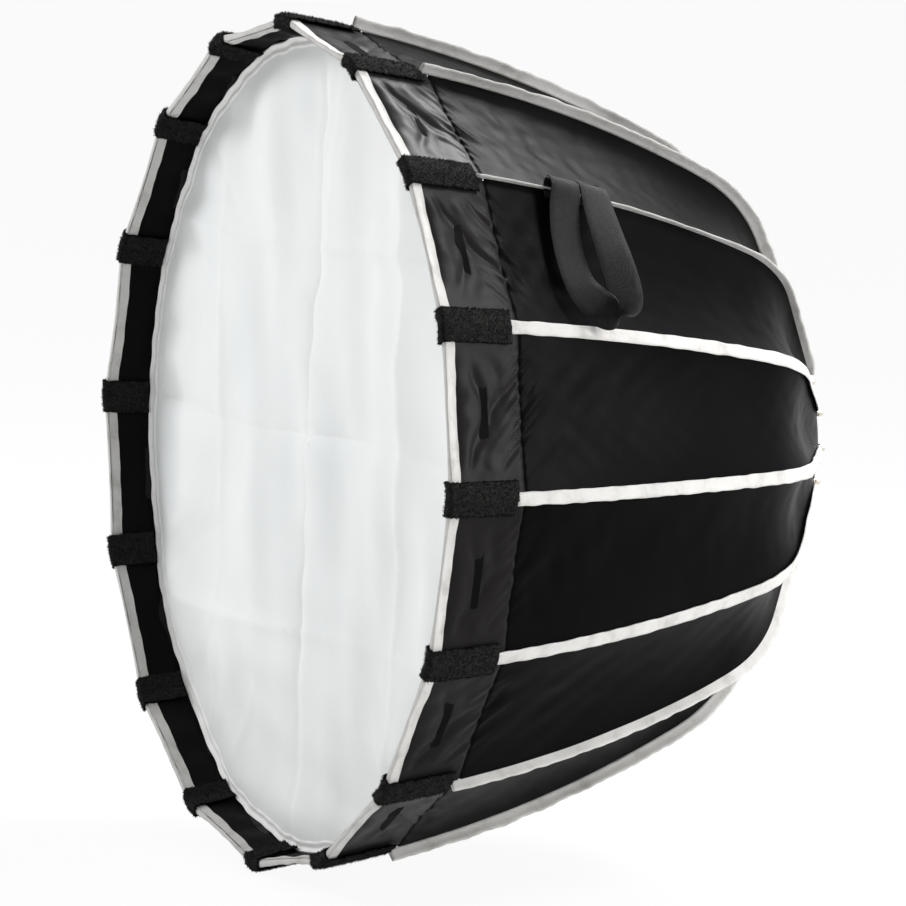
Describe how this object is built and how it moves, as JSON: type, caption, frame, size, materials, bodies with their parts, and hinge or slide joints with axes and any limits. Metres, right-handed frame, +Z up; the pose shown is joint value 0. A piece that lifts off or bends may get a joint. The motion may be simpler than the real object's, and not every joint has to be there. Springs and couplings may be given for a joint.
{
  "type": "octabox",
  "caption": "Deep round fabric softbox with folding ribs in a castellated ring, turning on a bayonet lamp collar, with a recessed white front diffuser.",
  "frame": {"origin": "on the light's axis, at the rear face of the collar's flange", "axes": "+Y along the light's axis from the front diffuser to the lamp, +Z up"},
  "size_m": [0.8912, 0.6185, 0.8912],
  "materials": {
    "aluminium": "fine-turned aluminium",
    "ring_black": "black powder coat on a casting",
    "screw_steel": "plain steel",
    "spring_steel": "bright spring steel",
    "shell_black": "black coated polyester, silver inside",
    "binding_grey": "light warm grey binding tape",
    "loop_pile": "black loop pile",
    "lip_black": "black coated polyester",
    "diffuser_white": "white translucent nylon",
    "webbing_black": "black woven webbing",
    "foot_black": "black cast foot, steel rod root",
    "rod_steel": "plain spring steel rod",
    "pin_nickel": "bright nickel plate"
  },
  "bodies": {
    "collar": {"collar": "aluminium"},
    "ring": {"ring_body": "ring_black", "ring_cover": "ring_black", "cover_screws": "screw_steel", "hinge_pins": "screw_steel", "plunger_springs": "spring_steel", "shell_gores": "shell_black", "seam_bindings": "binding_grey", "tip_tabs": "loop_pile", "front_lip": "lip_black", "front_diffuser": "diffuser_white", "strap_handle": "webbing_black"},
    "rib_root_01": {"rib_foot_01": "foot_black"},
    "rib_front_01": {"rib_rod_01": "rod_steel"},
    "plunger_01": {"lock_plunger_01": "pin_nickel"},
    "rib_root_02": {"rib_foot_02": "foot_black"},
    "rib_front_02": {"rib_rod_02": "rod_steel"},
    "plunger_02": {"lock_plunger_02": "pin_nickel"},
    "rib_root_03": {"rib_foot_03": "foot_black"},
    "rib_front_03": {"rib_rod_03": "rod_steel"},
    "plunger_03": {"lock_plunger_03": "pin_nickel"},
    "rib_root_04": {"rib_foot_04": "foot_black"},
    "rib_front_04": {"rib_rod_04": "rod_steel"},
    "plunger_04": {"lock_plunger_04": "pin_nickel"},
    "rib_root_05": {"rib_foot_05": "foot_black"},
    "rib_front_05": {"rib_rod_05": "rod_steel"},
    "plunger_05": {"lock_plunger_05": "pin_nickel"},
    "rib_root_06": {"rib_foot_06": "foot_black"},
    "rib_front_06": {"rib_rod_06": "rod_steel"},
    "plunger_06": {"lock_plunger_06": "pin_nickel"},
    "rib_root_07": {"rib_foot_07": "foot_black"},
    "rib_front_07": {"rib_rod_07": "rod_steel"},
    "plunger_07": {"lock_plunger_07": "pin_nickel"},
    "rib_root_08": {"rib_foot_08": "foot_black"},
    "rib_front_08": {"rib_rod_08": "rod_steel"},
    "plunger_08": {"lock_plunger_08": "pin_nickel"},
    "rib_root_09": {"rib_foot_09": "foot_black"},
    "rib_front_09": {"rib_rod_09": "rod_steel"},
    "plunger_09": {"lock_plunger_09": "pin_nickel"},
    "rib_root_10": {"rib_foot_10": "foot_black"},
    "rib_front_10": {"rib_rod_10": "rod_steel"},
    "plunger_10": {"lock_plunger_10": "pin_nickel"},
    "rib_root_11": {"rib_foot_11": "foot_black"},
    "rib_front_11": {"rib_rod_11": "rod_steel"},
    "plunger_11": {"lock_plunger_11": "pin_nickel"},
    "rib_root_12": {"rib_foot_12": "foot_black"},
    "rib_front_12": {"rib_rod_12": "rod_steel"},
    "plunger_12": {"lock_plunger_12": "pin_nickel"},
    "rib_root_13": {"rib_foot_13": "foot_black"},
    "rib_front_13": {"rib_rod_13": "rod_steel"},
    "plunger_13": {"lock_plunger_13": "pin_nickel"},
    "rib_root_14": {"rib_foot_14": "foot_black"},
    "rib_front_14": {"rib_rod_14": "rod_steel"},
    "plunger_14": {"lock_plunger_14": "pin_nickel"},
    "rib_root_15": {"rib_foot_15": "foot_black"},
    "rib_front_15": {"rib_rod_15": "rod_steel"},
    "plunger_15": {"lock_plunger_15": "pin_nickel"},
    "rib_root_16": {"rib_foot_16": "foot_black"},
    "rib_front_16": {"rib_rod_16": "rod_steel"},
    "plunger_16": {"lock_plunger_16": "pin_nickel"}
  },
  "joints": [
    {"name": "softbox_turn", "type": "hinge", "parent": "collar", "child": "ring", "pos_m": [0, 0, 0], "axis": [0, 1, 0], "continuous": true},
    {"name": "fold_01", "type": "hinge", "parent": "ring", "child": "rib_root_01", "pos_m": [0, -0.00465, 0.095], "axis": [1, 0, 0], "range_deg": [0, 55], "deforming": ["shell_gores", "seam_bindings", "tip_tabs", "front_lip", "front_diffuser", "strap_handle"]},
    {"name": "rod_straightens_01", "type": "hinge", "parent": "rib_root_01", "child": "rib_front_01", "pos_m": [0, -0.15591, 0.30842], "axis": [1, 0, 0], "range_deg": [-40, 0]},
    {"name": "release_pin_01", "type": "slide", "parent": "ring", "child": "plunger_01", "axis": [0, 1, 0], "range_m": [0, 0.004], "stiffness_N_per_m": 600, "springref_m": -0.002, "deforming": ["plunger_springs"]},
    {"name": "fold_02", "type": "hinge", "parent": "ring", "child": "rib_root_02", "pos_m": [0.03635, -0.00465, 0.08777], "axis": [0.9239, 0, -0.3827], "range_deg": [0, 55]},
    {"name": "rod_straightens_02", "type": "hinge", "parent": "rib_root_02", "child": "rib_front_02", "pos_m": [0.11803, -0.15591, 0.28495], "axis": [0.9239, 0, -0.3827], "range_deg": [-40, 0]},
    {"name": "release_pin_02", "type": "slide", "parent": "ring", "child": "plunger_02", "axis": [0, 1, 0], "range_m": [0, 0.004], "stiffness_N_per_m": 600, "springref_m": -0.002, "deforming": ["plunger_springs"]},
    {"name": "fold_03", "type": "hinge", "parent": "ring", "child": "rib_root_03", "pos_m": [0.06717, -0.00465, 0.06717], "axis": [0.7071, 0, -0.7071], "range_deg": [0, 55]},
    {"name": "rod_straightens_03", "type": "hinge", "parent": "rib_root_03", "child": "rib_front_03", "pos_m": [0.21809, -0.15591, 0.21809], "axis": [0.7071, 0, -0.7071], "range_deg": [-40, 0]},
    {"name": "release_pin_03", "type": "slide", "parent": "ring", "child": "plunger_03", "axis": [0, 1, 0], "range_m": [0, 0.004], "stiffness_N_per_m": 600, "springref_m": -0.002, "deforming": ["plunger_springs"]},
    {"name": "fold_04", "type": "hinge", "parent": "ring", "child": "rib_root_04", "pos_m": [0.08777, -0.00465, 0.03635], "axis": [0.3827, 0, -0.9239], "range_deg": [0, 55]},
    {"name": "rod_straightens_04", "type": "hinge", "parent": "rib_root_04", "child": "rib_front_04", "pos_m": [0.28495, -0.15591, 0.11803], "axis": [0.3827, 0, -0.9239], "range_deg": [-40, 0]},
    {"name": "release_pin_04", "type": "slide", "parent": "ring", "child": "plunger_04", "axis": [0, 1, 0], "range_m": [0, 0.004], "stiffness_N_per_m": 600, "springref_m": -0.002, "deforming": ["plunger_springs"]},
    {"name": "fold_05", "type": "hinge", "parent": "ring", "child": "rib_root_05", "pos_m": [0.095, -0.00465, 0], "axis": [0, 0, -1], "range_deg": [0, 55]},
    {"name": "rod_straightens_05", "type": "hinge", "parent": "rib_root_05", "child": "rib_front_05", "pos_m": [0.30842, -0.15591, 0], "axis": [0, 0, -1], "range_deg": [-40, 0]},
    {"name": "release_pin_05", "type": "slide", "parent": "ring", "child": "plunger_05", "axis": [0, 1, 0], "range_m": [0, 0.004], "stiffness_N_per_m": 600, "springref_m": -0.002, "deforming": ["plunger_springs"]},
    {"name": "fold_06", "type": "hinge", "parent": "ring", "child": "rib_root_06", "pos_m": [0.08777, -0.00465, -0.03635], "axis": [-0.3827, 0, -0.9239], "range_deg": [0, 55]},
    {"name": "rod_straightens_06", "type": "hinge", "parent": "rib_root_06", "child": "rib_front_06", "pos_m": [0.28495, -0.15591, -0.11803], "axis": [-0.3827, 0, -0.9239], "range_deg": [-40, 0]},
    {"name": "release_pin_06", "type": "slide", "parent": "ring", "child": "plunger_06", "axis": [0, 1, 0], "range_m": [0, 0.004], "stiffness_N_per_m": 600, "springref_m": -0.002, "deforming": ["plunger_springs"]},
    {"name": "fold_07", "type": "hinge", "parent": "ring", "child": "rib_root_07", "pos_m": [0.06717, -0.00465, -0.06717], "axis": [-0.7071, 0, -0.7071], "range_deg": [0, 55]},
    {"name": "rod_straightens_07", "type": "hinge", "parent": "rib_root_07", "child": "rib_front_07", "pos_m": [0.21809, -0.15591, -0.21809], "axis": [-0.7071, 0, -0.7071], "range_deg": [-40, 0]},
    {"name": "release_pin_07", "type": "slide", "parent": "ring", "child": "plunger_07", "axis": [0, 1, 0], "range_m": [0, 0.004], "stiffness_N_per_m": 600, "springref_m": -0.002, "deforming": ["plunger_springs"]},
    {"name": "fold_08", "type": "hinge", "parent": "ring", "child": "rib_root_08", "pos_m": [0.03635, -0.00465, -0.08777], "axis": [-0.9239, 0, -0.3827], "range_deg": [0, 55]},
    {"name": "rod_straightens_08", "type": "hinge", "parent": "rib_root_08", "child": "rib_front_08", "pos_m": [0.11803, -0.15591, -0.28495], "axis": [-0.9239, 0, -0.3827], "range_deg": [-40, 0]},
    {"name": "release_pin_08", "type": "slide", "parent": "ring", "child": "plunger_08", "axis": [0, 1, 0], "range_m": [0, 0.004], "stiffness_N_per_m": 600, "springref_m": -0.002, "deforming": ["plunger_springs"]},
    {"name": "fold_09", "type": "hinge", "parent": "ring", "child": "rib_root_09", "pos_m": [0, -0.00465, -0.095], "axis": [-1, 0, 0], "range_deg": [0, 55]},
    {"name": "rod_straightens_09", "type": "hinge", "parent": "rib_root_09", "child": "rib_front_09", "pos_m": [0, -0.15591, -0.30842], "axis": [-1, 0, 0], "range_deg": [-40, 0]},
    {"name": "release_pin_09", "type": "slide", "parent": "ring", "child": "plunger_09", "axis": [0, 1, 0], "range_m": [0, 0.004], "stiffness_N_per_m": 600, "springref_m": -0.002, "deforming": ["plunger_springs"]},
    {"name": "fold_10", "type": "hinge", "parent": "ring", "child": "rib_root_10", "pos_m": [-0.03635, -0.00465, -0.08777], "axis": [-0.9239, 0, 0.3827], "range_deg": [0, 55]},
    {"name": "rod_straightens_10", "type": "hinge", "parent": "rib_root_10", "child": "rib_front_10", "pos_m": [-0.11803, -0.15591, -0.28495], "axis": [-0.9239, 0, 0.3827], "range_deg": [-40, 0]},
    {"name": "release_pin_10", "type": "slide", "parent": "ring", "child": "plunger_10", "axis": [0, 1, 0], "range_m": [0, 0.004], "stiffness_N_per_m": 600, "springref_m": -0.002, "deforming": ["plunger_springs"]},
    {"name": "fold_11", "type": "hinge", "parent": "ring", "child": "rib_root_11", "pos_m": [-0.06717, -0.00465, -0.06717], "axis": [-0.7071, 0, 0.7071], "range_deg": [0, 55]},
    {"name": "rod_straightens_11", "type": "hinge", "parent": "rib_root_11", "child": "rib_front_11", "pos_m": [-0.21809, -0.15591, -0.21809], "axis": [-0.7071, 0, 0.7071], "range_deg": [-40, 0]},
    {"name": "release_pin_11", "type": "slide", "parent": "ring", "child": "plunger_11", "axis": [0, 1, 0], "range_m": [0, 0.004], "stiffness_N_per_m": 600, "springref_m": -0.002, "deforming": ["plunger_springs"]},
    {"name": "fold_12", "type": "hinge", "parent": "ring", "child": "rib_root_12", "pos_m": [-0.08777, -0.00465, -0.03635], "axis": [-0.3827, 0, 0.9239], "range_deg": [0, 55]},
    {"name": "rod_straightens_12", "type": "hinge", "parent": "rib_root_12", "child": "rib_front_12", "pos_m": [-0.28495, -0.15591, -0.11803], "axis": [-0.3827, 0, 0.9239], "range_deg": [-40, 0]},
    {"name": "release_pin_12", "type": "slide", "parent": "ring", "child": "plunger_12", "axis": [0, 1, 0], "range_m": [0, 0.004], "stiffness_N_per_m": 600, "springref_m": -0.002, "deforming": ["plunger_springs"]},
    {"name": "fold_13", "type": "hinge", "parent": "ring", "child": "rib_root_13", "pos_m": [-0.095, -0.00465, 0], "axis": [0, 0, 1], "range_deg": [0, 55]},
    {"name": "rod_straightens_13", "type": "hinge", "parent": "rib_root_13", "child": "rib_front_13", "pos_m": [-0.30842, -0.15591, 0], "axis": [0, 0, 1], "range_deg": [-40, 0]},
    {"name": "release_pin_13", "type": "slide", "parent": "ring", "child": "plunger_13", "axis": [0, 1, 0], "range_m": [0, 0.004], "stiffness_N_per_m": 600, "springref_m": -0.002, "deforming": ["plunger_springs"]},
    {"name": "fold_14", "type": "hinge", "parent": "ring", "child": "rib_root_14", "pos_m": [-0.08777, -0.00465, 0.03635], "axis": [0.3827, 0, 0.9239], "range_deg": [0, 55]},
    {"name": "rod_straightens_14", "type": "hinge", "parent": "rib_root_14", "child": "rib_front_14", "pos_m": [-0.28495, -0.15591, 0.11803], "axis": [0.3827, 0, 0.9239], "range_deg": [-40, 0]},
    {"name": "release_pin_14", "type": "slide", "parent": "ring", "child": "plunger_14", "axis": [0, 1, 0], "range_m": [0, 0.004], "stiffness_N_per_m": 600, "springref_m": -0.002, "deforming": ["plunger_springs"]},
    {"name": "fold_15", "type": "hinge", "parent": "ring", "child": "rib_root_15", "pos_m": [-0.06717, -0.00465, 0.06717], "axis": [0.7071, 0, 0.7071], "range_deg": [0, 55]},
    {"name": "rod_straightens_15", "type": "hinge", "parent": "rib_root_15", "child": "rib_front_15", "pos_m": [-0.21809, -0.15591, 0.21809], "axis": [0.7071, 0, 0.7071], "range_deg": [-40, 0]},
    {"name": "release_pin_15", "type": "slide", "parent": "ring", "child": "plunger_15", "axis": [0, 1, 0], "range_m": [0, 0.004], "stiffness_N_per_m": 600, "springref_m": -0.002, "deforming": ["plunger_springs"]},
    {"name": "fold_16", "type": "hinge", "parent": "ring", "child": "rib_root_16", "pos_m": [-0.03635, -0.00465, 0.08777], "axis": [0.9239, 0, 0.3827], "range_deg": [0, 55]},
    {"name": "rod_straightens_16", "type": "hinge", "parent": "rib_root_16", "child": "rib_front_16", "pos_m": [-0.11803, -0.15591, 0.28495], "axis": [0.9239, 0, 0.3827], "range_deg": [-40, 0]},
    {"name": "release_pin_16", "type": "slide", "parent": "ring", "child": "plunger_16", "axis": [0, 1, 0], "range_m": [0, 0.004], "stiffness_N_per_m": 600, "springref_m": -0.002, "deforming": ["plunger_springs"]}
  ],
  "couplings": [
    {"joint": "rod_straightens_01", "follows": "fold_01", "ratio": -0.71636},
    {"joint": "fold_02", "follows": "fold_01", "ratio": 1},
    {"joint": "rod_straightens_02", "follows": "fold_01", "ratio": -0.71636},
    {"joint": "fold_03", "follows": "fold_01", "ratio": 1},
    {"joint": "rod_straightens_03", "follows": "fold_01", "ratio": -0.71636},
    {"joint": "fold_04", "follows": "fold_01", "ratio": 1},
    {"joint": "rod_straightens_04", "follows": "fold_01", "ratio": -0.71636},
    {"joint": "fold_05", "follows": "fold_01", "ratio": 1},
    {"joint": "rod_straightens_05", "follows": "fold_01", "ratio": -0.71636},
    {"joint": "fold_06", "follows": "fold_01", "ratio": 1},
    {"joint": "rod_straightens_06", "follows": "fold_01", "ratio": -0.71636},
    {"joint": "fold_07", "follows": "fold_01", "ratio": 1},
    {"joint": "rod_straightens_07", "follows": "fold_01", "ratio": -0.71636},
    {"joint": "fold_08", "follows": "fold_01", "ratio": 1},
    {"joint": "rod_straightens_08", "follows": "fold_01", "ratio": -0.71636},
    {"joint": "fold_09", "follows": "fold_01", "ratio": 1},
    {"joint": "rod_straightens_09", "follows": "fold_01", "ratio": -0.71636},
    {"joint": "fold_10", "follows": "fold_01", "ratio": 1},
    {"joint": "rod_straightens_10", "follows": "fold_01", "ratio": -0.71636},
    {"joint": "fold_11", "follows": "fold_01", "ratio": 1},
    {"joint": "rod_straightens_11", "follows": "fold_01", "ratio": -0.71636},
    {"joint": "fold_12", "follows": "fold_01", "ratio": 1},
    {"joint": "rod_straightens_12", "follows": "fold_01", "ratio": -0.71636},
    {"joint": "fold_13", "follows": "fold_01", "ratio": 1},
    {"joint": "rod_straightens_13", "follows": "fold_01", "ratio": -0.71636},
    {"joint": "fold_14", "follows": "fold_01", "ratio": 1},
    {"joint": "rod_straightens_14", "follows": "fold_01", "ratio": -0.71636},
    {"joint": "fold_15", "follows": "fold_01", "ratio": 1},
    {"joint": "rod_straightens_15", "follows": "fold_01", "ratio": -0.71636},
    {"joint": "fold_16", "follows": "fold_01", "ratio": 1},
    {"joint": "rod_straightens_16", "follows": "fold_01", "ratio": -0.71636}
  ]
}
